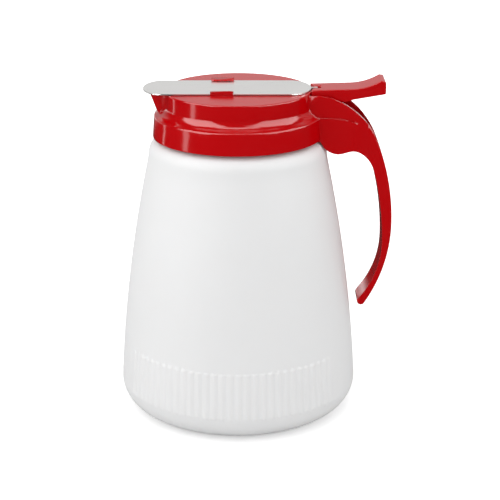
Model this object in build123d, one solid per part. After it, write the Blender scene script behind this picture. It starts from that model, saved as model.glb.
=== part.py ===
from build123d import *
import math
import os

# A 48 fl oz table syrup dispenser: a blow-moulded white jar with a screwed-on red pouring top.
# The top carries a spout, a handle and a sliding steel blade that cuts off the pour.
# A sprung thumb lever, pivoting between the cheeks of the handle, pulls the blade back.
# Millimetres, +Z up, origin at the centre of the jar's base on the table.
# +X points to the handle, -X to the spout.

# ---- Jar ----
jar_wall = 1.8
base_r = 66.7
base_corner_r = 15.8
foot_width = 9.0
push_up = 1.6
belly_z = 72.9
belly_bow = 2.42
waist_r = 50.2
waist_z = 141.0
shoulder_draw = 1.05
shoulder_rise = 7.0
neck_r = 41.2
neck_root_rise = 8.4
neck_height = 8.8

# ---- Soft vertical ribs near the foot, two panels with a plain strip at each mould parting ----
ribs_per_panel = 30
rib_pitch_deg = 3.85
panel_turn_deg = -5.4
rib_round = 3.6
rib_height = 0.45
rib_bottom_z = 12.2
rib_top_z = 43.0

# ---- Screw thread between jar neck and top ----
thread_pitch = 4.0
thread_turns = 1.1
thread_height = 1.3
thread_root_width = 1.8
thread_crest_width = 0.9
thread_radial_gap = 0.6
thread_bearing_gap = 0.1
thread_mouth_land = 0.2
thread_bury = 0.4

# ---- Seal ring ----
seal_thickness = 1.4
seal_gap = 0.3
seal_inner_overhang = 0.7
seal_outer_overhang = 1.2

# ---- Collar, drum and deck of the top ----
collar_gap = 0.5
collar_wall = 3.5
collar_draft = 0.8
collar_edge_r = 0.8
ledge_outer_wall = 1.5
ledge_width = 5.5
ledge_slope = 0.469
ledge_fillet = 5.0
drum_wall = 2.2
deck_rise = 13.6
deck_thickness = 2.2
deck_edge_r = 0.6

# ---- Pouring spout, lengths measured out from the drum ----
lip_length = 8.4
lip_half_width = 4.6
lip_nose_length = 2.2
spout_root_half_width = 17.0
spout_foot_rise = 0.5
spout_foot_length = 3.5
spout_foot_half_width = 4.0
spout_foot_nose_length = 1.6
spout_foot_root_half_width = 11.0
spout_draw = 0.8
spout_bury = 4.0
spout_wall = 1.7
pour_floor_rise = 2.0
pour_hole_length = 14.3
pour_hole_half_width = 11.0

# ---- Cut-off blade, its bent tail, and the two lugs that hold it down ----
blade_thickness = 0.6
blade_gap = 0.3
blade_half_width = 16.75
blade_overhang = 2.9
blade_nose_length = 10.6
blade_heel_length = 11.0
blade_heel_entry = 0.1
tail_half_width = 1.0
tail_head_half_width = 2.3
tail_head_height = 1.3
tail_depth = 2.6
lug_centre_x = -8.3
lug_length = 12.5
lug_edge_thickness = 0.7
lug_root_thickness = 1.2
lug_lip_overlap = 3.5
lug_top_width = 4.7
lug_foot_flare = 0.4
lug_corner_r = 1.3

# ---- Thumb lever, its top described from the front edge to the crest ----
lever_half_width = 9.0
lever_drum_gap = 0.5
lever_top_rise = 0.2
lever_flat_length = 21.8
lever_flat_climb = 0.6
lever_crest_run = 15.7
lever_crest_climb = 4.6
lever_crest_drop = 0.3
lever_end_run = 2.8
lever_end_depth = 7.1
lever_knee_run = 0.9
lever_knee_depth = 5.8
lever_heel_run = 3.1
lever_heel_depth = 7.3
lever_front_depth = 4.4
lever_crest_round = 1.4
lever_wall = 1.9
core_start_run = 1.3
vee_edge = 1.0
vee_depth = 1.9
neck_slot_depth = 2.2
pocket_front_wall = 2.8
pocket_length = 2.6
pocket_side_gap = 0.4
pocket_floor_gap = 1.3
pivot_run = 10.2
pivot_drop = 23.9
lever_swing_deg = 30.0
hub_wall = 1.95
hub_width = 4.0
hub_side_gap = 0.55
arm_width = 2.8
arm_side_gap = 1.15
arm_half_depth = 2.8
arm_top_half_depth = 6.0

# ---- Pivot pin and return spring ----
pin_r = 1.25
pin_running_gap = 0.06
pin_socket_gap = 0.05
pin_socket_depth = 1.3
pin_end_gap = 0.15
snap_share = 0.9
spring_wire_r = 0.45
spring_bore_gap = 0.7
spring_pitch = 1.45
spring_turns = 4
spring_foot_angle = 13.0
spring_foot_gap = 0.4
spring_top_deg = 156.0
spring_top_gap = 0.15

# ---- Handle ----
# Runs are measured along X from the pivot pin, drops from the deck, and insets from the grip's back.
cheek_gap = 0.35
cheek_wall = 2.05
cheek_step = 0.8
cheek_rim_run = -7.0
cheek_brow_run = 2.5
cheek_brow_drop = 3.5
handle_back_inset = 9.0
handle_back_drop = 27.3
grip_stand_off = 45.2
grip_reach_drop = 74.3
grip_half_width = 8.6
grip_thickness = 5.1
grip_bulge_drop = 11.0
grip_tip_inset = 14.2
grip_tip_drop = 121.9
grip_back_round = 0.8
tip_thickness = 4.4
inner_neck_inset = 10.5
inner_neck_drop = 44.8
under_bend = (-4.3, 8.1)
underside = [(12.7, -2.5), (4.0, -4.05), (-1.7, -2.0), (-5.5, 2.9)]
upper_taper_run = 12.5
lower_taper_run = 10.5
channel_taper_run = 14.5
plan_taper_inset = 11.0
crease_flat_run = -1.5
crease_end_run = 19.5
crease_end_fall = 5.2
channel_floor_gap = 2.6
channel_end_run = 15.5
channel_mouth_inset = 7.0
channel_mouth_rise = 6.9
shoulder_clearance = 0.6

# ---- Sizes that follow: jar, thread and seal ----
belly_share = (belly_z - base_corner_r) / (waist_z - base_corner_r)
belly_r = base_r + belly_share * (waist_r - base_r) + belly_bow
shoulder_r = waist_r - shoulder_draw
shoulder_z = waist_z + shoulder_rise
neck_root_z = shoulder_z + neck_root_rise
mouth_z = neck_root_z + neck_height
thread_crest_r = neck_r + thread_height
thread_start_z = mouth_z - thread_mouth_land - thread_root_width / 2 - thread_pitch * thread_turns
seal_bottom_z = mouth_z + seal_gap
seal_inner_r = neck_r - jar_wall - seal_inner_overhang
seal_outer_r = neck_r + seal_outer_overhang

# ---- Sizes that follow: top ----
ceiling_z = seal_bottom_z + seal_thickness + seal_gap
collar_bore_r = thread_crest_r + thread_radial_gap
collar_bottom_r = collar_bore_r + collar_wall
collar_top_r = collar_bottom_r - collar_draft
collar_bottom_z = neck_root_z + collar_gap
ledge_outer_z = ceiling_z + ledge_outer_wall
drum_r = collar_top_r - ledge_width
drum_bore_r = drum_r - drum_wall
deck_z = ledge_outer_z + deck_rise
spout_foot_z = ledge_outer_z + spout_foot_rise
pour_floor_z = spout_foot_z + pour_floor_rise

# ---- Sizes that follow: blade and lever ----
blade_z = deck_z + blade_gap
blade_top_z = blade_z + blade_thickness
blade_nose_x = -(drum_r + lip_length + blade_overhang)
vee_side_half = lever_half_width - vee_edge
lever_front_x = math.sqrt((drum_r + lever_drum_gap) ** 2 - vee_side_half**2)
lever_front_z = blade_top_z + lever_top_rise
lever_flat_end_x = lever_front_x + lever_flat_length
lever_flat_end_z = lever_front_z + lever_flat_climb
lever_crest_x = lever_flat_end_x + lever_crest_run
lever_crest_z = lever_flat_end_z + lever_crest_climb
lever_end_x = lever_crest_x + lever_end_run
lever_end_z = lever_crest_z - lever_crest_drop
blade_heel_x = lever_front_x + blade_heel_entry
pocket_x = lever_front_x + pocket_front_wall
tail_x = pocket_x + blade_gap
neck_slot_half = tail_half_width + pocket_side_gap
pivot_x = drum_r + pivot_run
pivot_z = deck_z - pivot_drop
hub_r = pin_r + hub_wall
hub_outer_half = lever_half_width + cheek_gap - hub_side_gap
arm_outer_half = lever_half_width + cheek_gap - arm_side_gap
spring_mean_r = pin_r + spring_bore_gap + spring_wire_r

# ---- Sizes that follow: handle ----
cheek_inner_half = lever_half_width + cheek_gap
cheek_half = cheek_inner_half + cheek_wall
socket_half = cheek_inner_half + pin_socket_depth
cheek_brow_x = pivot_x + cheek_brow_run
cheek_brow_z = deck_z - cheek_brow_drop
cheek_rim_flat_x = pivot_x + cheek_rim_run
grip_reach = drum_r + grip_stand_off
grip_reach_z = deck_z - grip_reach_drop
inner_reach = grip_reach - grip_thickness
inner_reach_z = grip_reach_z - grip_bulge_drop
inner_neck_x = grip_reach - inner_neck_inset
inner_neck_z = deck_z - inner_neck_drop
channel_floor_z = pivot_z - hub_r - channel_floor_gap
plan_taper_end_x = grip_reach - plan_taper_inset
handle_back_x = grip_reach - handle_back_inset
channel_mouth_x = grip_reach - channel_mouth_inset
big = 200.0


def turned_outline(section):
    """A body of revolution about the jar's axis, from a half section in radius and height."""
    return revolve(Plane.XZ * section, Axis.Z, 360)


def slab(outline, half_width):
    """A side view drawn in X and Z, given a width of half_width each side of the middle."""
    return extrude(Plane.XZ * outline, amount=half_width, both=True)


def slab_between(outline, inner_half, outer_half):
    """Two equal plates with the same side view, one each side of the middle."""
    return slab(outline, outer_half) - slab(outline, inner_half)


# ---- Jar ----
def flank_arc():
    """The side of the jar, one long arc from the base corner to the waist."""
    return ThreePointArc((base_r, base_corner_r), (belly_r, belly_z), (waist_r, waist_z))


def jar_outline(axis_r):
    """Half section of the solid jar, from the line at axis_r outwards."""
    foot_r = base_r - base_corner_r
    recess = Line((axis_r, push_up), (foot_r - foot_width - push_up, push_up))
    step = Line(recess @ 1, (foot_r - foot_width, 0))
    foot = Line(step @ 1, (foot_r, 0))
    corner = TangentArc(foot @ 1, (base_r, base_corner_r), tangent=(1, 0))
    flank = flank_arc()
    waist = TangentArc(flank @ 1, (shoulder_r, shoulder_z), tangent=flank % 1)
    shoulder = TangentArc(waist @ 1, (neck_r, neck_root_z), tangent=waist % 1)
    neck = Line(shoulder @ 1, (neck_r, mouth_z))
    mouth = Line(neck @ 1, (axis_r, mouth_z))
    axis = Line(mouth @ 1, recess @ 0)
    return make_face([recess, step, foot, corner, flank, waist, shoulder, neck, mouth, axis])


def grown_jar(growth):
    """The solid jar with its whole surface moved outwards by growth, or inwards if negative."""
    return turned_outline(offset(jar_outline(growth), amount=growth))


def flank_r(z):
    """Radius of the jar's side at a height."""
    arc = flank_arc()
    centre = arc.arc_center
    return centre.X + math.sqrt(arc.radius**2 - (z - centre.Y) ** 2)


def jar_rib():
    """One soft rib: a round-ended bar sunk into the jar's side at +X."""
    sunk = rib_round - rib_height
    low_z = rib_bottom_z + rib_round
    high_z = rib_top_z - rib_round
    low = Vector(flank_r(low_z) - sunk, 0, low_z)
    high = Vector(flank_r(high_z) - sunk, 0, high_z)
    length = (high - low).length
    bottom = ThreePointArc((0, -rib_round), (rib_round * math.sin(math.pi / 4),
                           -rib_round * math.cos(math.pi / 4)), (rib_round, 0))
    side = Line((rib_round, 0), (rib_round, length))
    top = ThreePointArc((rib_round, length), (rib_round * math.sin(math.pi / 4),
                        length + rib_round * math.cos(math.pi / 4)), (0, length + rib_round))
    axis = Line((0, length + rib_round), (0, -rib_round))
    bar = turned_outline(make_face([bottom, side, top, axis]))
    return Plane(origin=low, x_dir=(0, 1, 0), z_dir=high - low) * bar


def jar_ribs():
    """Two panels of ribs, one each side of the mould parting line."""
    bar = jar_rib()
    ribs = []
    for middle in (-90 + panel_turn_deg, 90 + panel_turn_deg):
        for index in range(ribs_per_panel):
            turn = middle + (index - (ribs_per_panel - 1) / 2) * rib_pitch_deg
            ribs.append(Rot(Z=turn) * bar)
    return ribs


def thread_rib(root_r, outwards, start_z):
    """One screw rib on a cylinder of root_r, standing outwards (1) or inwards (-1)."""
    path = Helix(pitch=thread_pitch, height=thread_pitch * thread_turns, radius=root_r)
    flank_run = (thread_root_width - thread_crest_width) / 2 / thread_height
    crest_half = thread_crest_width / 2
    buried_half = crest_half + flank_run * (thread_height + thread_bury)
    buried = -outwards * thread_bury
    crest = outwards * thread_height
    section = make_face(Polyline((buried, -buried_half), (crest, -crest_half), (crest, crest_half),
                                 (buried, buried_half), close=True))
    start = Plane(origin=path @ 0, x_dir=(1, 0, 0), z_dir=path % 0)
    return Pos(Z=start_z) * sweep(start * section, path=path, is_frenet=True)


def jar():
    outer = turned_outline(jar_outline(0))
    inside = grown_jar(-jar_wall)
    bore = Pos(Z=mouth_z) * Cylinder(neck_r - jar_wall, 4 * jar_wall)
    body = outer.fuse(*jar_ribs())
    body = body + thread_rib(neck_r, 1, thread_start_z)
    return body - inside - bore


def seal_ring():
    ring = Cylinder(seal_outer_r, seal_thickness) - Cylinder(seal_inner_r, seal_thickness)
    return Pos(Z=seal_bottom_z + seal_thickness / 2) * ring


# ---- Top: collar, drum and deck ----
def top_outline():
    """Half section of the solid collar, ledge, drum and deck."""
    ledge_foot_z = ledge_outer_z + ledge_slope * (collar_top_r - drum_r)
    corners = [(0, collar_bottom_z), (collar_bottom_r, collar_bottom_z),
               (collar_top_r, ledge_outer_z), (drum_r, ledge_foot_z), (drum_r, deck_z), (0, deck_z)]
    outline = make_face(Polyline(*corners, close=True))
    for corner, radius in ((corners[2], collar_edge_r), (corners[3], ledge_fillet),
                           (corners[4], deck_edge_r)):
        nearest = outline.vertices().sort_by_distance(Vector(*corner))[0]
        outline = fillet(nearest, radius)
    return outline


def top_cavity():
    """The hollow under the deck: threaded bore, ceiling for the seal, and the drum above it."""
    corners = [(0, collar_bottom_z - 1), (collar_bore_r, collar_bottom_z - 1),
               (collar_bore_r, ceiling_z), (drum_bore_r, ceiling_z),
               (drum_bore_r, deck_z - deck_thickness), (0, deck_z - deck_thickness)]
    return turned_outline(make_face(Polyline(*corners, close=True)))


# ---- Top: spout ----
def beak_outline(length, half_width, nose_length, root_half_width, inset):
    """Plan of the pouring beak at one height, made smaller all round by inset.

    Each flank leaves the drum along its tangent and runs into the rounded nose.
    """
    root_x = -math.sqrt(drum_r**2 - root_half_width**2)
    tip_x = inset - drum_r - length
    nose_x = tip_x + nose_length
    nose_half = half_width - inset * spout_draw
    root_half = root_half_width - inset
    buried_x = root_x + spout_bury
    flank = TangentArc((root_x, root_half), (nose_x, nose_half), tangent=(-root_half_width, root_x))
    middle = flank @ 0.5
    tip = ThreePointArc(flank @ 1, (tip_x, 0), (nose_x, -nose_half))
    far_flank = ThreePointArc(tip @ 1, (middle.X, -middle.Y), (root_x, -root_half))
    back = Polyline(far_flank @ 1, (buried_x, -root_half), (buried_x, root_half), flank @ 0)
    return make_face([flank, tip, far_flank, back])


def beak(inset, low_z, high_z):
    """The beak between two heights, or the channel inside it when inset is the wall."""
    lip = beak_outline(lip_length, lip_half_width, lip_nose_length, spout_root_half_width, inset)
    foot = beak_outline(spout_foot_length, spout_foot_half_width, spout_foot_nose_length,
                        spout_foot_root_half_width, inset)
    return loft([Pos(Z=low_z) * foot, Pos(Z=high_z) * lip], ruled=True)


def pour_hole():
    """Hole through the deck and the drum's wall behind the beak's channel."""
    start_x = -math.sqrt(drum_r**2 - spout_root_half_width**2)
    inner_x = pour_hole_length - drum_r
    length = inner_x - start_x
    hole = Box(length, 2 * pour_hole_half_width, 4 * deck_thickness)
    hole = fillet(hole.edges().filter_by(Axis.Z).sort_by(Axis.X)[2:], pour_hole_half_width / 3)
    return Pos((start_x + inner_x) / 2, 0, deck_z) * hole


# ---- Top: lugs over the blade ----
def lug():
    """One hooked lug on the deck at +Y, its lip over the blade's edge and thinnest at the end."""
    sunk_z = deck_z - deck_thickness / 2
    lip_z = blade_top_z + blade_gap
    lip_y = blade_half_width - lug_lip_overlap
    foot_y = blade_half_width + blade_gap
    back_y = lip_y + lug_top_width
    section = make_face(Polyline((foot_y, sunk_z), (foot_y, lip_z), (lip_y, lip_z),
                                 (lip_y, lip_z + lug_edge_thickness),
                                 (back_y, lip_z + lug_root_thickness),
                                 (back_y + lug_foot_flare, sunk_z), close=True))
    body = extrude(Plane.YZ * section, amount=lug_length / 2, both=True)
    lip_corners = body.edges().filter_by(Axis.Z).sort_by(Axis.Y)[:2]
    return Pos(X=lug_centre_x) * fillet(lip_corners, lug_corner_r)


# ---- Top: handle ----
def handle_outline():
    """Side view of the handle, from the drum over the cheeks and down the open grip."""
    back = TangentArc((grip_reach, grip_reach_z), (handle_back_x, deck_z - handle_back_drop),
                      tangent=(0, 1))
    fall = TangentArc(back @ 1, (cheek_brow_x, cheek_brow_z), tangent=back % 1)
    slope = fall % 1
    rim_z = cheek_brow_z + (cheek_brow_x - cheek_rim_flat_x) * (1 + slope.X) / slope.Y
    brow = TangentArc(fall @ 1, (cheek_rim_flat_x, rim_z), tangent=slope)
    rim = Line(brow @ 1, (0, rim_z))
    grip = TangentArc((grip_reach, grip_reach_z), (grip_reach - grip_tip_inset,
                      deck_z - grip_tip_drop), tangent=(0, -1))
    tip_turn = grip % 1
    across = Vector(tip_turn.Y, -tip_turn.X)
    tip_inner = (grip @ 1) + across * tip_thickness
    tip_end = (grip @ 1) + (across + tip_turn) * (tip_thickness / 2)
    tip = ThreePointArc(grip @ 1, tip_end, tip_inner)
    inner = TangentArc((inner_reach, inner_reach_z), tip_inner, tangent=(0, -1))
    upper = TangentArc((inner_reach, inner_reach_z), (inner_neck_x, inner_neck_z), tangent=(0, 1))
    bend = (inner_neck_x + under_bend[0], inner_neck_z + under_bend[1])
    below = [(pivot_x + run, channel_floor_z + rise) for run, rise in underside]
    under = Spline(upper @ 1, bend, *below, tangents=(upper % 1, (-1, 1.6)))
    inside = Polyline(under @ 1, (0, below[-1][1]), rim @ 1)
    return make_face([back, fall, brow, rim, grip, tip, inner, upper, under, inside])


def handle_plan(root_half, tip_half, taper_x, end_x):
    """Top view of the handle: full width near the drum, drawn in to the grip further out."""
    near = Line((0, root_half), (taper_x, root_half))
    waist = Spline(near @ 1, (plan_taper_end_x, tip_half), tangents=((1, 0), (1, 0)))
    ends = Polyline(waist @ 1, (end_x, tip_half), (end_x, -tip_half), (plan_taper_end_x, -tip_half))
    far_waist = Spline(ends @ 1, (taper_x, -root_half), tangents=((-1, 0), (-1, 0)))
    rest = Polyline(far_waist @ 1, (0, -root_half), (0, root_half))
    return extrude(make_face([near, waist, ends, far_waist, rest]), amount=big)


def below_crease():
    """Side view of the thicker lower tier of the cheeks, level with the ledge round the drum."""
    top = Line((0, ledge_outer_z), (pivot_x + crease_flat_run, ledge_outer_z))
    fall = TangentArc(top @ 1, (pivot_x + crease_end_run, ledge_outer_z - crease_end_fall),
                      tangent=(1, 0))
    rest = Polyline(fall @ 1, (fall @ 1) + Vector(big, -big), (0, ledge_outer_z - big), top @ 0)
    return make_face([top, fall, rest])


def handle():
    """Two cheeks that run into the grip, still without the channel between them."""
    outline = handle_outline()
    grip = slab(outline, grip_half_width)
    back_edges = grip.edges().filter_by(GeomType.CIRCLE).sort_by(Axis.X)[-4:]
    grip = fillet(back_edges, grip_back_round)
    above_neck = outline & Pos(0, inner_neck_z + big / 2) * Rectangle(2 * big, big)
    cheek_end_x = (plan_taper_end_x + handle_back_x) / 2
    upper_tier = slab(above_neck, big) & handle_plan(
        cheek_half, grip_half_width, pivot_x + upper_taper_run, cheek_end_x)
    lower_tier = slab(above_neck & below_crease(), big) & handle_plan(
        cheek_half + cheek_step, grip_half_width, pivot_x + lower_taper_run, cheek_end_x)
    return grip + upper_tier + lower_tier


def channel():
    """The space between the cheeks, where the lever's hub and spring sit."""
    floor = Line((0, channel_floor_z), (pivot_x + channel_end_run, channel_floor_z))
    rise = TangentArc(floor @ 1, (channel_mouth_x, channel_floor_z + channel_mouth_rise),
                      tangent=(1, 0))
    rest = Polyline(rise @ 1, (channel_mouth_x, big), (0, big), (0, channel_floor_z))
    return slab(make_face([floor, rise, rest]), big) & handle_plan(
        cheek_inner_half, grip_half_width - cheek_wall, pivot_x + channel_taper_run,
        channel_mouth_x)


def pin_sockets():
    """Blind sockets for the pivot pin, with snap-in grooves open to the top of the channel."""
    socket = slab(Pos(pivot_x, pivot_z) * Circle(pin_r + pin_socket_gap), socket_half)
    groove = slab(Pos(pivot_x, pivot_z + big / 2) * Rectangle(2 * pin_r * snap_share, big),
                  socket_half)
    return socket + groove


def top_housing():
    """Collar, drum, deck, spout, lugs and handle, moulded as one piece."""
    body = turned_outline(top_outline())
    body += beak(0, spout_foot_z, deck_z)
    body += handle() - channel() - grown_jar(shoulder_clearance) - pin_sockets()
    body -= top_cavity()
    body -= beak(spout_wall, pour_floor_z, deck_z + 1)
    body -= pour_hole()
    thread_drop = (thread_root_width + thread_crest_width) / 2 + thread_bearing_gap
    body += thread_rib(collar_bore_r, -1, thread_start_z - thread_drop)
    near_lug = lug()
    return body + near_lug + mirror(near_lug, Plane.XZ)


# ---- Blade ----
def cutter_blade():
    """Flat stainless strip with elliptical ends and a tail bent down into the lever."""
    nose_x = blade_nose_x + blade_nose_length
    heel_x = blade_heel_x - blade_heel_length
    plan = Pos((nose_x + heel_x) / 2, 0) * Rectangle(heel_x - nose_x, 2 * blade_half_width)
    plan += Pos(nose_x, 0) * Ellipse(blade_nose_length, blade_half_width)
    plan += Pos(heel_x, 0) * Ellipse(blade_heel_length, blade_half_width)
    plan += Pos((heel_x + tail_x) / 2, 0) * Rectangle(tail_x - heel_x, 2 * tail_half_width)
    strip = Pos(Z=blade_z) * extrude(plan, amount=blade_thickness)
    tail_middle = tail_x + blade_thickness / 2
    tongue = Pos(tail_middle, 0, blade_top_z - tail_depth / 2) * Box(
        blade_thickness, 2 * tail_half_width, tail_depth)
    head = Pos(tail_middle, 0, blade_top_z - tail_depth + tail_head_height / 2) * Box(
        blade_thickness, 2 * tail_head_half_width, tail_head_height)
    return strip + tongue + head


# ---- Thumb lever ----
def lever_outline():
    """Side view of the thumb piece."""
    flat = Line((lever_front_x, lever_front_z), (lever_flat_end_x, lever_flat_end_z))
    rise = TangentArc(flat @ 1, (lever_crest_x, lever_crest_z), tangent=flat % 1)
    knee = (lever_flat_end_x + lever_knee_run, lever_flat_end_z - lever_knee_depth)
    heel = (lever_flat_end_x - lever_heel_run, lever_flat_end_z - lever_heel_depth)
    rest = Polyline(rise @ 1, (lever_end_x, lever_end_z),
                    (lever_end_x, lever_end_z - lever_end_depth), knee, heel,
                    (lever_front_x, lever_front_z - lever_front_depth), flat @ 0)
    outline = make_face([flat, rise, rest])
    corners = [outline.vertices().sort_by_distance(Vector(*corner))[0]
               for corner in ((lever_crest_x, lever_crest_z), (lever_end_x, lever_end_z))]
    return fillet(corners, lever_crest_round)


def lever_core():
    """Moulded hollow under the thumb piece, open downwards."""
    outline = lever_outline()
    start_x = lever_flat_end_x - core_start_run
    end_x = lever_end_x - lever_wall
    lowered = Pos(0, -lever_wall) * outline
    window = Pos((start_x + end_x) / 2, lever_flat_end_z) * Rectangle(end_x - start_x, big)
    deep = lowered + Pos(0, -lever_front_depth) * outline
    return slab(deep & window, lever_half_width - lever_wall)


def vee_notch():
    """Shallow vee in the lever's front that receives the blade's rounded heel."""
    front = lever_front_x - 1
    apex = lever_front_x + vee_depth
    vee = make_face(Polyline((front, -vee_side_half), (lever_front_x, -vee_side_half),
                             (apex, -neck_slot_half), (apex, neck_slot_half),
                             (lever_front_x, vee_side_half), (front, vee_side_half), close=True))
    return extrude(vee, amount=big)


def tail_pocket():
    """Slot for the blade's neck and pocket for its bent tail, open at the top."""
    slot = Pos((lever_front_x + pocket_x) / 2, 0) * Rectangle(pocket_x - lever_front_x + 1,
                                                              2 * neck_slot_half)
    pocket = Pos(pocket_x + pocket_length / 2, 0) * Rectangle(
        pocket_length, 2 * (tail_head_half_width + pocket_side_gap))
    slot_bottom = blade_z - neck_slot_depth
    pocket_bottom = blade_top_z - tail_depth - pocket_floor_gap
    return (Pos(Z=slot_bottom) * extrude(slot, amount=big)
            + Pos(Z=pocket_bottom) * extrude(pocket, amount=big))


def lever_arms():
    """Two arms and hub ears that carry the thumb piece on the pivot pin."""
    arm_top_z = lever_front_z - lever_front_depth
    front_side = [(pivot_x - arm_half_depth, pivot_z), (pivot_x - arm_half_depth, ledge_outer_z),
                  (pivot_x - arm_top_half_depth, arm_top_z)]
    back_side = [(pivot_x + arm_top_half_depth, arm_top_z), (pivot_x + arm_half_depth, ledge_outer_z),
                 (pivot_x + arm_half_depth, pivot_z)]
    arm = slab_between(make_face(Polyline(*front_side, *back_side, close=True)),
                       arm_outer_half - arm_width, arm_outer_half)
    ear = slab_between(Pos(pivot_x, pivot_z) * Circle(hub_r),
                       hub_outer_half - hub_width, hub_outer_half)
    return arm + ear


def thumb_lever():
    body = slab(lever_outline(), lever_half_width)
    body = body - lever_core() - vee_notch() - tail_pocket() + lever_arms()
    bore = slab(Pos(pivot_x, pivot_z) * Circle(pin_r + pin_running_gap), lever_half_width + 1)
    return body - bore


def lever_pin():
    return slab(Pos(pivot_x, pivot_z) * Circle(pin_r), socket_half - pin_end_gap)


# ---- Return spring ----
def biarc(start, start_turn, end, end_turn):
    """Two tangent arcs that join two points with given directions."""
    gap = end - start
    both = start_turn + end_turn
    a = 2 * (1 - start_turn.dot(end_turn))
    b = 2 * gap.dot(both)
    c = -gap.dot(gap)
    reach = (-b + math.sqrt(b * b - 4 * a * c)) / (2 * a)
    first = start + start_turn * reach
    second = end - end_turn * reach
    joint = (first + second) * 0.5
    joint_turn = (second - first).normalized()
    return [TangentArc(start, joint, tangent=start_turn), TangentArc(joint, end, tangent=joint_turn)]


def coil_point(turn_deg, along):
    """Centre of the wire at an angle about the pivot and a place along the pin."""
    turn = math.radians(turn_deg)
    return Vector(pivot_x + spring_mean_r * math.cos(turn), along,
                  pivot_z + spring_mean_r * math.sin(turn))


def coil_direction(turn_deg, slope):
    """Running direction of the wire, winding clockwise seen from the front."""
    turn = math.radians(turn_deg)
    return Vector(math.sin(turn), slope, -math.cos(turn)).normalized()


def lever_spring():
    """Torsion spring round the pin: one leg on the channel floor, one under the lever."""
    start_deg = -90 - spring_foot_angle
    end_deg = spring_top_deg - 360 * (spring_turns + 1)
    steps = round((start_deg - end_deg) / 90)
    step_deg = (end_deg - start_deg) / steps
    coil_length = spring_pitch * (start_deg - end_deg) / 360
    slope = spring_pitch / (2 * math.pi * spring_mean_r)
    stations = []
    for index in range(steps + 1):
        turn_deg = start_deg + index * step_deg
        along = coil_length * (index / steps - 0.5)
        ends = index in (0, steps)
        stations.append((coil_point(turn_deg, along), coil_direction(turn_deg, 0 if ends else slope)))
    start, foot_turn = stations[0]
    end, top_turn = stations[-1]
    foot_z = channel_floor_z + spring_foot_gap + spring_wire_r
    foot_length = (start.Z - foot_z) / foot_turn.Z
    top_z = lever_flat_end_z - lever_heel_depth - spring_top_gap
    top_length = (top_z - end.Z) / top_turn.Z
    edges = [Line(start - foot_turn * foot_length, start)]
    for first, second in zip(stations, stations[1:]):
        edges += biarc(*first, *second)
    edges.append(Line(end, end + top_turn * top_length))
    path = Wire(edges)
    section = Plane(origin=path @ 0, z_dir=path % 0) * Circle(spring_wire_r)
    report_self_gap(path)
    return sweep(section, path=path)


def report_self_gap(path):
    """Least distance between stretches of the wire that lie more than half a turn apart."""
    count = 600
    spacing = path.length / count
    apart = math.ceil(math.pi * spring_mean_r / spacing)
    points = [path @ (index / count) for index in range(count + 1)]
    least = min((points[i] - points[j]).length
                for i in range(count + 1) for j in range(i + apart, count + 1))
    print("spring wire, least gap to itself", round(least - 2 * spring_wire_r, 3), "mm")


def report_motion():
    """Travel of the blade for the whole swing of the lever, from the pin-to-hook distance."""
    hook_x = tail_x - pivot_x
    hook_z = blade_z + blade_thickness / 2 - pivot_z
    reach = math.hypot(hook_x, hook_z)
    rest = math.atan2(hook_x, hook_z)
    swing = math.radians(lever_swing_deg)
    travel = reach * (math.sin(rest + swing) - math.sin(rest))
    print("blade travel", round(travel, 3), "mm, ratio", round(travel / 1000 / swing, 6), "m/rad")
    print("lift per turn", thread_pitch, "mm, ratio",
          round(thread_pitch / 1000 / (2 * math.pi), 8), "m/rad")


def main():
    os.makedirs("parts", exist_ok=True)
    pieces = {
        "jar": jar(),
        "seal_ring": seal_ring(),
        "top_housing": top_housing(),
        "cutter_blade": cutter_blade(),
        "thumb_lever": thumb_lever(),
        "lever_pin": lever_pin(),
        "lever_spring": lever_spring(),
    }
    for name, shape in pieces.items():
        export_step(shape, "parts/" + name + ".step")
    report_motion()


main()
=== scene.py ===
# %% [markdown]
# A table syrup dispenser stands on a white sweep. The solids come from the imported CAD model.
# This lesson dresses them: it lays finishes on them, models again what needs softer edges, and
# sets the lamps and the camera as in a plain catalogue picture.
# %% Load the frame
import math

import bpy
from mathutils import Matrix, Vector


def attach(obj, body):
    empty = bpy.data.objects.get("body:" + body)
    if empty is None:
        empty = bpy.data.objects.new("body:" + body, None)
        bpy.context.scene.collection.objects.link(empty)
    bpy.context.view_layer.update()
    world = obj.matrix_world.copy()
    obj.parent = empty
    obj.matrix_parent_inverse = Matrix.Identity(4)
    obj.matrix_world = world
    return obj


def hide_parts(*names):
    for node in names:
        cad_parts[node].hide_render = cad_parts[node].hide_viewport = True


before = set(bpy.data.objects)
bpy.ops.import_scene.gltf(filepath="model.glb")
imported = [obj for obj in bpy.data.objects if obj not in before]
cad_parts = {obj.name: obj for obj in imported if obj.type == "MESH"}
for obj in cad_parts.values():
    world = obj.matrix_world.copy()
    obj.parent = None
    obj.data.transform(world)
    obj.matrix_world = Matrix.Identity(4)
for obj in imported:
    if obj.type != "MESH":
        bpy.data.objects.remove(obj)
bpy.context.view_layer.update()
MM = 0.001


# %% [markdown]
# Colours are written as a screen shows them. Blender's sockets want linear light, so one function
# turns a hex colour into it. A second one adds a node, sets its values and joins its links, which
# keeps each finish down to one line per node.
# %% Colour and node helpers
def linear(hex_colour):
    channels = [int(hex_colour[i : i + 2], 16) / 255 for i in (1, 3, 5)]
    return [c / 12.92 if c <= 0.04045 else ((c + 0.055) / 1.055) ** 2.4 for c in channels] + [1.0]


def add(tree, kind, links=(), **settings):
    node = tree.nodes.new("ShaderNode" + kind)
    for name, value in settings.items():
        if name in node.bl_rna.properties:
            setattr(node, name, value)
        else:
            node.inputs[name.replace("_", " ")].default_value = value
    for name, source in dict(links).items():
        tree.links.new(source, node.inputs[name])
    return node


def new_material(name):
    material = bpy.data.materials.new(name)
    material.use_nodes = True
    material.node_tree.nodes.clear()
    return material, material.node_tree


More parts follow.
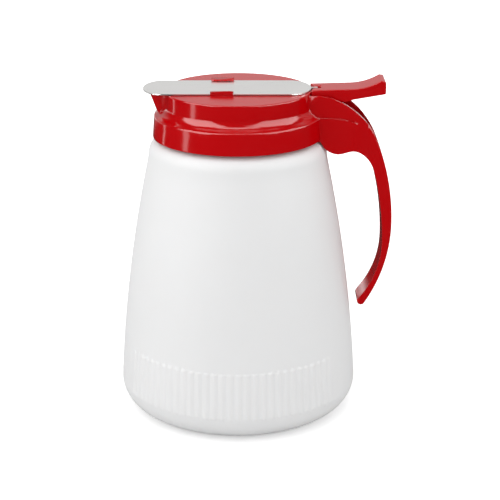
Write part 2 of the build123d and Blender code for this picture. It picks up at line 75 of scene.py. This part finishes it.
# %% [markdown]
# The red pieces are moulded ABS with a polished mould face. It gives the eye one deep, even red,
# clear reflections of the lamps and a faint waviness of the skin, called orange peel, about 3 mm
# from crest to crest. A mould has no truly sharp edges, so a bevel node bends the shading over the
# last 0.9 mm before each edge, where it catches a thin line of light. The deck under the blade is
# left a little matt by the mould, which hides the scratches of use, and the two lugs on it are
# plump all over, so there the bevel node reaches 2.4 mm.
# %% Red ABS
DECK_HEIGHT = 182.3 * MM
DECK_BAND = 0.05 * MM
DECK_ROUGHNESS = 0.26
LUG_TOP_HEIGHT = 183.45 * MM
LUGS_END = 20.0 * MM
EDGE_LIGHT = 0.9 * MM
LUG_EDGE_LIGHT = 2.4 * MM


def red_abs():
    material, tree = new_material("abs_moulded_red")
    place = add(tree, "TexCoord").outputs["Object"]
    peel = add(tree, "TexNoise", {"Vector": place}, Scale=330.0, Detail=2.0)
    haze = add(tree, "TexNoise", {"Vector": place}, Scale=60.0, Detail=3.0)
    polish = add(tree, "MapRange", {"Value": haze.outputs["Fac"]}, To_Min=0.09, To_Max=0.15)
    parts = add(tree, "SeparateXYZ", {"Vector": place})
    deck = add(tree, "Math", {0: parts.outputs["Z"]}, operation="COMPARE")
    deck.inputs[1].default_value = DECK_HEIGHT
    deck.inputs[2].default_value = DECK_BAND
    gloss = add(tree, "Mix", {"Factor": deck.outputs[0], 2: polish.outputs["Result"]},
                data_type="FLOAT")
    gloss.inputs[3].default_value = DECK_ROUGHNESS
    raised = add(tree, "Math", {0: parts.outputs["Z"]}, operation="GREATER_THAN")
    raised.inputs[1].default_value = LUG_TOP_HEIGHT
    clear_of_lever = add(tree, "Math", {0: parts.outputs["X"]}, operation="LESS_THAN")
    clear_of_lever.inputs[1].default_value = LUGS_END
    lug = add(tree, "Math", {0: raised.outputs[0], 1: clear_of_lever.outputs[0]},
              operation="MULTIPLY")
    reach = add(tree, "MapRange", {"Value": lug.outputs[0]}, To_Min=EDGE_LIGHT,
                To_Max=LUG_EDGE_LIGHT)
    edge = add(tree, "Bevel", {"Radius": reach.outputs["Result"]}, samples=16)
    bump = add(tree, "Bump", {"Height": peel.outputs["Fac"], "Normal": edge.outputs["Normal"]},
               Strength=0.05, Distance=0.2 * MM)
    shader = add(tree, "BsdfPrincipled", {"Roughness": gloss.outputs[0],
                                          "Normal": bump.outputs["Normal"]},
                 Base_Color=linear("#b80006"), IOR=1.5)
    add(tree, "OutputMaterial", {"Surface": shader.outputs["BSDF"]})
    return material


# %% [markdown]
# The jar is blow-moulded polyethylene from a blasted mould. It gives the eye a soft white with a
# wide, weak sheen. The blasting leaves a grain near 0.4 mm, drawn here at 0.8 mm so that it shows.
# Blown plastic never fills a sharp corner, so a bevel node rounds the valleys between the ribs.
# Light also spreads some 4 mm inside the milky wall and softens every shadow that falls on it.
# %% White polyethylene
VALLEY_ROUNDING = 0.6 * MM
LIGHT_SPREAD = 4.0 * MM


def white_polyethylene():
    material, tree = new_material("pe_blow_moulded_white")
    place = add(tree, "TexCoord").outputs["Object"]
    grain = add(tree, "TexNoise", {"Vector": place}, Scale=1250.0, Detail=2.0)
    wall = add(tree, "TexNoise", {"Vector": place}, Scale=18.0, Detail=2.0)
    tone = add(tree, "Mix", {"Factor": wall.outputs["Fac"]}, data_type="RGBA")
    tone.inputs[6].default_value = linear("#e4e4e4")
    tone.inputs[7].default_value = linear("#e9e9e9")
    valley = add(tree, "Bevel", samples=6, Radius=VALLEY_ROUNDING)
    bump = add(tree, "Bump", {"Height": grain.outputs["Fac"], "Normal": valley.outputs["Normal"]},
               Strength=0.06, Distance=0.1 * MM)
    shader = add(tree, "BsdfPrincipled", {"Base Color": tone.outputs[2],
                                          "Normal": bump.outputs["Normal"]},
                 Roughness=0.6, IOR=1.51, Specular_IOR_Level=0.35, Subsurface_Weight=0.3,
                 Subsurface_Radius=(1.0, 0.95, 0.9), Subsurface_Scale=LIGHT_SPREAD)
    add(tree, "OutputMaterial", {"Surface": shader.outputs["BSDF"]})
    return material


# %% [markdown]
# The cut-off blade is rolled stainless strip, brushed along its length. The eye sees a pale grey
# with fine lengthwise lines. Real lines are about 0.05 mm apart, drawn here at 0.3 mm.
# %% Brushed stainless
def brushed_stainless():
    material, tree = new_material("stainless_rolled_brushed")
    place = add(tree, "TexCoord").outputs["Object"]
    drawn = add(tree, "Mapping", {"Vector": place}, Scale=(60.0, 3300.0, 3300.0))
    lines = add(tree, "TexNoise", {"Vector": drawn.outputs["Vector"]}, Scale=1.0, Detail=2.0)
    rough = add(tree, "MapRange", {"Value": lines.outputs["Fac"]}, To_Min=0.24, To_Max=0.36)
    bump = add(tree, "Bump", {"Height": lines.outputs["Fac"]}, Strength=0.08,
               Distance=0.05 * MM)
    shader = add(tree, "BsdfPrincipled", {"Roughness": rough.outputs["Result"],
                                          "Normal": bump.outputs["Normal"]},
                 Base_Color=linear("#eeedeb"), Metallic=1.0)
    add(tree, "OutputMaterial", {"Surface": shader.outputs["BSDF"]})
    return material


# %% [markdown]
# Pin and spring are drawn steel wire: bright, with faint die lines round it. The seal is a punched
# silicone ring, matt and slightly milky.
# %% Steel wire and silicone
def drawn_steel():
    material, tree = new_material("steel_drawn_wire")
    place = add(tree, "TexCoord").outputs["Object"]
    marks = add(tree, "TexNoise", {"Vector": place}, Scale=2500.0, Detail=1.0)
    rough = add(tree, "MapRange", {"Value": marks.outputs["Fac"]}, To_Min=0.18, To_Max=0.32)
    shader = add(tree, "BsdfPrincipled", {"Roughness": rough.outputs["Result"]},
                 Base_Color=linear("#bdbdc0"), Metallic=1.0)
    add(tree, "OutputMaterial", {"Surface": shader.outputs["BSDF"]})
    return material


def silicone():
    material, tree = new_material("silicone_punched_milky")
    place = add(tree, "TexCoord").outputs["Object"]
    dust = add(tree, "TexNoise", {"Vector": place}, Scale=900.0, Detail=2.0)
    rough = add(tree, "MapRange", {"Value": dust.outputs["Fac"]}, To_Min=0.55, To_Max=0.72)
    shader = add(tree, "BsdfPrincipled", {"Roughness": rough.outputs["Result"]},
                 Base_Color=linear("#dddbd2"), IOR=1.42)
    add(tree, "OutputMaterial", {"Surface": shader.outputs["BSDF"]})
    return material


finishes = {
    "jar_polyethylene": white_polyethylene(),
    "seal_rubber": silicone(),
    "red_abs": red_abs(),
    "stainless_blade": brushed_stainless(),
    "steel_wire": drawn_steel(),
}
print("finishes:", sorted(finishes))


# %% [markdown]
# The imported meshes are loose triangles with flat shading. A copy of each one has its doubled
# vertices merged and is shaded smooth up to 30 degrees, so round walls look round and real edges
# stay crisp. A weighted normal modifier keeps the flat faces flat beside their rounded edges.
# %% Smooth copies of the CAD pieces
MERGE_DISTANCE = 0.002 * MM
SMOOTH_UP_TO = math.radians(30)


def activate(piece):
    for thing in bpy.context.selected_objects:
        thing.select_set(False)
    piece.select_set(True)
    bpy.context.view_layer.objects.active = piece


def smooth_copy(node, body, slot, shape=None):
    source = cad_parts[node]
    piece = bpy.data.objects.new(node + "_dressed", source.data.copy())
    bpy.context.scene.collection.objects.link(piece)
    activate(piece)
    bpy.ops.object.mode_set(mode="EDIT")
    bpy.ops.mesh.select_all(action="SELECT")
    bpy.ops.mesh.remove_doubles(threshold=MERGE_DISTANCE)
    if shape:
        shape(piece.data)
    bpy.ops.object.mode_set(mode="OBJECT")
    bpy.ops.object.shade_smooth_by_angle(angle=SMOOTH_UP_TO)
    modifier = piece.modifiers.new("even_normals", "WEIGHTED_NORMAL")
    modifier.keep_sharp = True
    bpy.ops.object.modifier_apply(modifier=modifier.name)
    finish_piece(piece, body, slot, node)


def finish_piece(piece, body, slot, *nodes):
    piece.data.materials.clear()
    piece.data.materials.append(finishes[slot])
    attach(piece, body)
    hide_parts(*nodes)
    print(piece.name, "faces", len(piece.data.polygons))


# %% [markdown]
# Flat faces that come as loose triangles shade unevenly beside an edge, and a bevel can't run
# through them. So the flats of the handle and of the thumb piece are dissolved into single faces.
# The top's edges get their soft look from the bevel node of the finish alone: they cross too many
# fillets for a real bevel. The thumb piece is simple enough, and a thumb feels its edges, so those
# along both its sides are really rounded, by 0.6 mm. They are picked by their angle, and kept only
# where they lie on those sides.
# %% Clean flats and the thumb piece's rounded sides
FLATS_START = 42.0 * MM
FLAT_WITHIN = math.radians(0.4)
THUMB_PIECE_HEIGHT = 170.0 * MM
THUMB_PIECE_SIDE = 8.9 * MM
THUMB_ROUNDING = 0.6 * MM
SHARP_FROM = math.radians(35)


def keep_selected(mesh, parts, wanted):
    """Drop from the selection whatever has a corner outside the wanted place."""
    bpy.ops.object.mode_set(mode="OBJECT")
    for part in parts(mesh):
        part.select = part.select and all(wanted(mesh.vertices[i].co) for i in part.vertices)
    bpy.ops.object.mode_set(mode="EDIT")


def clean_flats(mesh, wanted):
    bpy.ops.mesh.select_mode(type="FACE")
    bpy.ops.mesh.select_all(action="SELECT")
    keep_selected(mesh, lambda mesh: mesh.polygons, wanted)
    bpy.ops.mesh.dissolve_limited(angle_limit=FLAT_WITHIN)


def clean_handle(mesh):
    clean_flats(mesh, lambda place: place.x > FLATS_START)


def round_thumb_piece(mesh):
    clean_flats(mesh, lambda place: place.z > THUMB_PIECE_HEIGHT)
    bpy.ops.mesh.select_mode(type="EDGE")
    bpy.ops.mesh.select_all(action="DESELECT")
    bpy.ops.mesh.edges_select_sharp(sharpness=SHARP_FROM)
    keep_selected(mesh, lambda mesh: mesh.edges,
                  lambda place: place.z > THUMB_PIECE_HEIGHT and abs(place.y) > THUMB_PIECE_SIDE)
    bpy.ops.mesh.bevel(offset=THUMB_ROUNDING, segments=4, profile=0.5, clamp_overlap=False)


# %% [markdown]
# Every CAD piece now gets its dressed copy: the same shape, smooth, with its finish, and riding on
# the body that carries it. The pin and the spring stay with the top, so only the lever and the
# blade move on it.
# %% Dressed pieces
smooth_copy("jar", "jar_body", "jar_polyethylene")
smooth_copy("seal_ring", "seal_body", "seal_rubber")
smooth_copy("top_housing", "top_body", "red_abs", clean_handle)
smooth_copy("lever_pin", "top_body", "steel_wire")
smooth_copy("lever_spring", "top_body", "steel_wire")
smooth_copy("thumb_lever", "lever_body", "red_abs", round_thumb_piece)
smooth_copy("cutter_blade", "blade_body", "stainless_blade")

# %% [markdown]
# The floor is a wide white plate. Lamps light it, so it keeps the object's shadow, and a light of
# its own, which grows away from the object, takes it up to the white of the sweep behind. In front
# of the object, mirrors see it as dark as the studio. Lengths are in metres.
# %% Floor
FLOOR_SIZE = 6.0
GLOW_STARTS, GLOW_IS_FULL = 0.12, 0.7
STUDIO_STARTS, STUDIO_IS_FULL = 1.2, 0.6
STUDIO_DARK = 0.03

bpy.ops.object.select_all(action="DESELECT")
bpy.ops.mesh.primitive_grid_add(x_subdivisions=4, y_subdivisions=4, size=FLOOR_SIZE,
                                location=(0, 0, 0))
floor = bpy.context.object
floor.name = "floor"


def floor_white():
    material, tree = new_material("floor_white_board")
    path = add(tree, "LightPath")
    place = add(tree, "TexCoord").outputs["Object"]
    reach = add(tree, "VectorMath", {0: place}, operation="LENGTH")
    parts = add(tree, "SeparateXYZ", {"Vector": place})
    mirror = add(tree, "Math", {0: path.outputs["Is Glossy Ray"],
                                1: path.outputs["Is Transmission Ray"]}, operation="MAXIMUM")
    shown = add(tree, "Math", {0: mirror.outputs[0], 1: path.outputs["Is Camera Ray"]},
                operation="MAXIMUM")
    lift = add(tree, "MapRange", {"Value": reach.outputs["Value"]}, From_Min=GLOW_STARTS,
               From_Max=GLOW_IS_FULL, To_Min=0.4, To_Max=1.0)
    glow_strength = add(tree, "Math", {0: shown.outputs[0], 1: lift.outputs["Result"]},
                        operation="MULTIPLY")
    board = add(tree, "BsdfDiffuse", Color=linear("#e6e6e6"))
    glow = add(tree, "Emission", {"Strength": glow_strength.outputs[0]}, Color=(1, 1, 1, 1))
    both = add(tree, "AddShader", {0: board.outputs[0], 1: glow.outputs[0]})
    front = add(tree, "MapRange", {"Value": parts.outputs["Y"]}, From_Min=STUDIO_STARTS,
                From_Max=STUDIO_IS_FULL)
    dark = add(tree, "Math", {0: mirror.outputs[0], 1: front.outputs["Result"]},
               operation="MULTIPLY")
    studio = add(tree, "Emission", Color=(1, 1, 1, 1), Strength=STUDIO_DARK)
    whole = add(tree, "MixShader", {0: dark.outputs[0], 1: both.outputs[0],
                                    2: studio.outputs[0]})
    add(tree, "OutputMaterial", {"Surface": whole.outputs[0]})
    return material


floor.data.materials.append(floor_white())

# %% [markdown]
# The world is the white sweep for the camera, and an even glow for soft rays, as in a light tent.
# Mirror rays see it pale only behind the object, dimmer near the floor than overhead. In front
# stands a dark studio, which is why the red keeps its depth.
# %% World
FILL = 0.95
BACKDROP_LOW, BACKDROP_HIGH = 0.55, 1.3

world = bpy.data.worlds.new("studio")
bpy.context.scene.world = world
world.use_nodes = True
tree = world.node_tree
tree.nodes.clear()
path = add(tree, "LightPath")
ray = add(tree, "TexCoord").outputs["Generated"]
parts = add(tree, "SeparateXYZ", {"Vector": ray})
height = add(tree, "MapRange", {"Value": parts.outputs["Z"]}, From_Min=0.25, From_Max=0.6,
             To_Min=BACKDROP_LOW, To_Max=BACKDROP_HIGH)
behind = add(tree, "MapRange", {"Value": parts.outputs["Y"], "To Max": height.outputs["Result"]},
             From_Min=0.6, From_Max=0.85, To_Min=STUDIO_DARK)
mirror_rays = add(tree, "Math", {0: path.outputs["Is Glossy Ray"],
                                 1: path.outputs["Is Transmission Ray"]}, operation="MAXIMUM")
fill_or_mirror = add(tree, "Mix", {"Factor": mirror_rays.outputs[0],
                                   3: behind.outputs["Result"]}, data_type="FLOAT")
fill_or_mirror.inputs[2].default_value = FILL
strength = add(tree, "Mix", {"Factor": path.outputs["Is Camera Ray"],
                             2: fill_or_mirror.outputs[0]}, data_type="FLOAT")
strength.inputs[3].default_value = 1.0
sky = add(tree, "Background", {"Strength": strength.outputs[0]}, Color=(1, 1, 1, 1))
add(tree, "OutputWorld", {"Surface": sky.outputs[0]})


# %% [markdown]
# Two softboxes stand left and right in front. A softbox is an area lamp: large, close and even.
# The tent already lights the pieces evenly, so the left one only adds a gentle side light. What
# the polished red mirrors is a box's much brighter cloth, so a box can be two lamps: a soft one
# that mirror rays don't see, and just in front of it a bright one that only they see. Two slim
# strips low on the left give the upright lines on the collar, and a bar overhead the gleam on its
# ledge. A soft box overhead, which nothing mirrors, lifts the faces that look up. The numbers are
# azimuth and elevation in degrees, width and height in metres, the radiance of the soft and the
# mirrored lamp, and the distance.
# %% Softboxes
LAMPS_AIM_AT = Vector((0, 0, 0.16))
SOFT_LAMP_SET_BACK = 0.03


def softbox(name, azimuth, elevation, width, height, soft, mirrored, distance=1.0):
    turn = math.radians(azimuth)
    rise = math.radians(elevation)
    away = Vector((math.sin(turn) * math.cos(rise), -math.cos(turn) * math.cos(rise),
                   math.sin(rise)))
    for part, radiance, back in (("soft", soft, SOFT_LAMP_SET_BACK),
                                 ("mirrored", mirrored, 0.0)):
        if radiance == 0:
            continue
        data = bpy.data.lights.new(name + "_" + part, "AREA")
        data.shape = "RECTANGLE"
        data.size = width
        data.size_y = height
        data.energy = radiance * math.pi * width * height
        lamp = bpy.data.objects.new(data.name, data)
        bpy.context.scene.collection.objects.link(lamp)
        lamp.location = LAMPS_AIM_AT + away * (distance + back)
        lamp.rotation_euler = (-away).to_track_quat("-Z", "Y").to_euler()
        lamp.visible_camera = False
        lamp.visible_glossy = part == "mirrored"
        lamp.visible_diffuse = part == "soft"


softbox("softbox_left", -63, 33, 1.02, 1.20, 0.55, 5.7)
softbox("softbox_right", 70, 33, 1.40, 1.15, 0.0, 4.7)
softbox("softbox_overhead", 0, 85, 0.80, 0.80, 1.4, 0.0, 1.2)
softbox("bar_overhead", 0, 76, 0.90, 0.36, 0.0, 5.0, 1.2)
softbox("strip_near", -70, -13, 0.07, 0.25, 0.0, 3.0, 0.5)
softbox("strip_far", -113, -13, 0.03, 0.25, 0.0, 2.2, 0.5)
lamps = [thing.name for thing in bpy.data.objects if thing.type == "LIGHT"]
print("lamps:", lamps)

# %% [markdown]
# The camera stands where the photographer's did: 0.82 m in front, looking down 19 degrees through
# a long lens, worked out from the rims' ellipses in the picture.
# %% Camera
LENS, SENSOR_WIDTH = 110.45, 36.0
CAMERA_PLACE = (6.78 * MM, -819.0 * MM, 372.9 * MM)
CAMERA_TILT = math.radians(70.9)

camera_data = bpy.data.cameras.new("camera")
camera_data.sensor_width = SENSOR_WIDTH
camera_data.lens = LENS
camera = bpy.data.objects.new("camera", camera_data)
bpy.context.scene.collection.objects.link(camera)
camera.location = CAMERA_PLACE
camera.rotation_euler = (CAMERA_TILT, 0, 0)
bpy.context.scene.camera = camera
bpy.context.scene.view_settings.view_transform = "Standard"
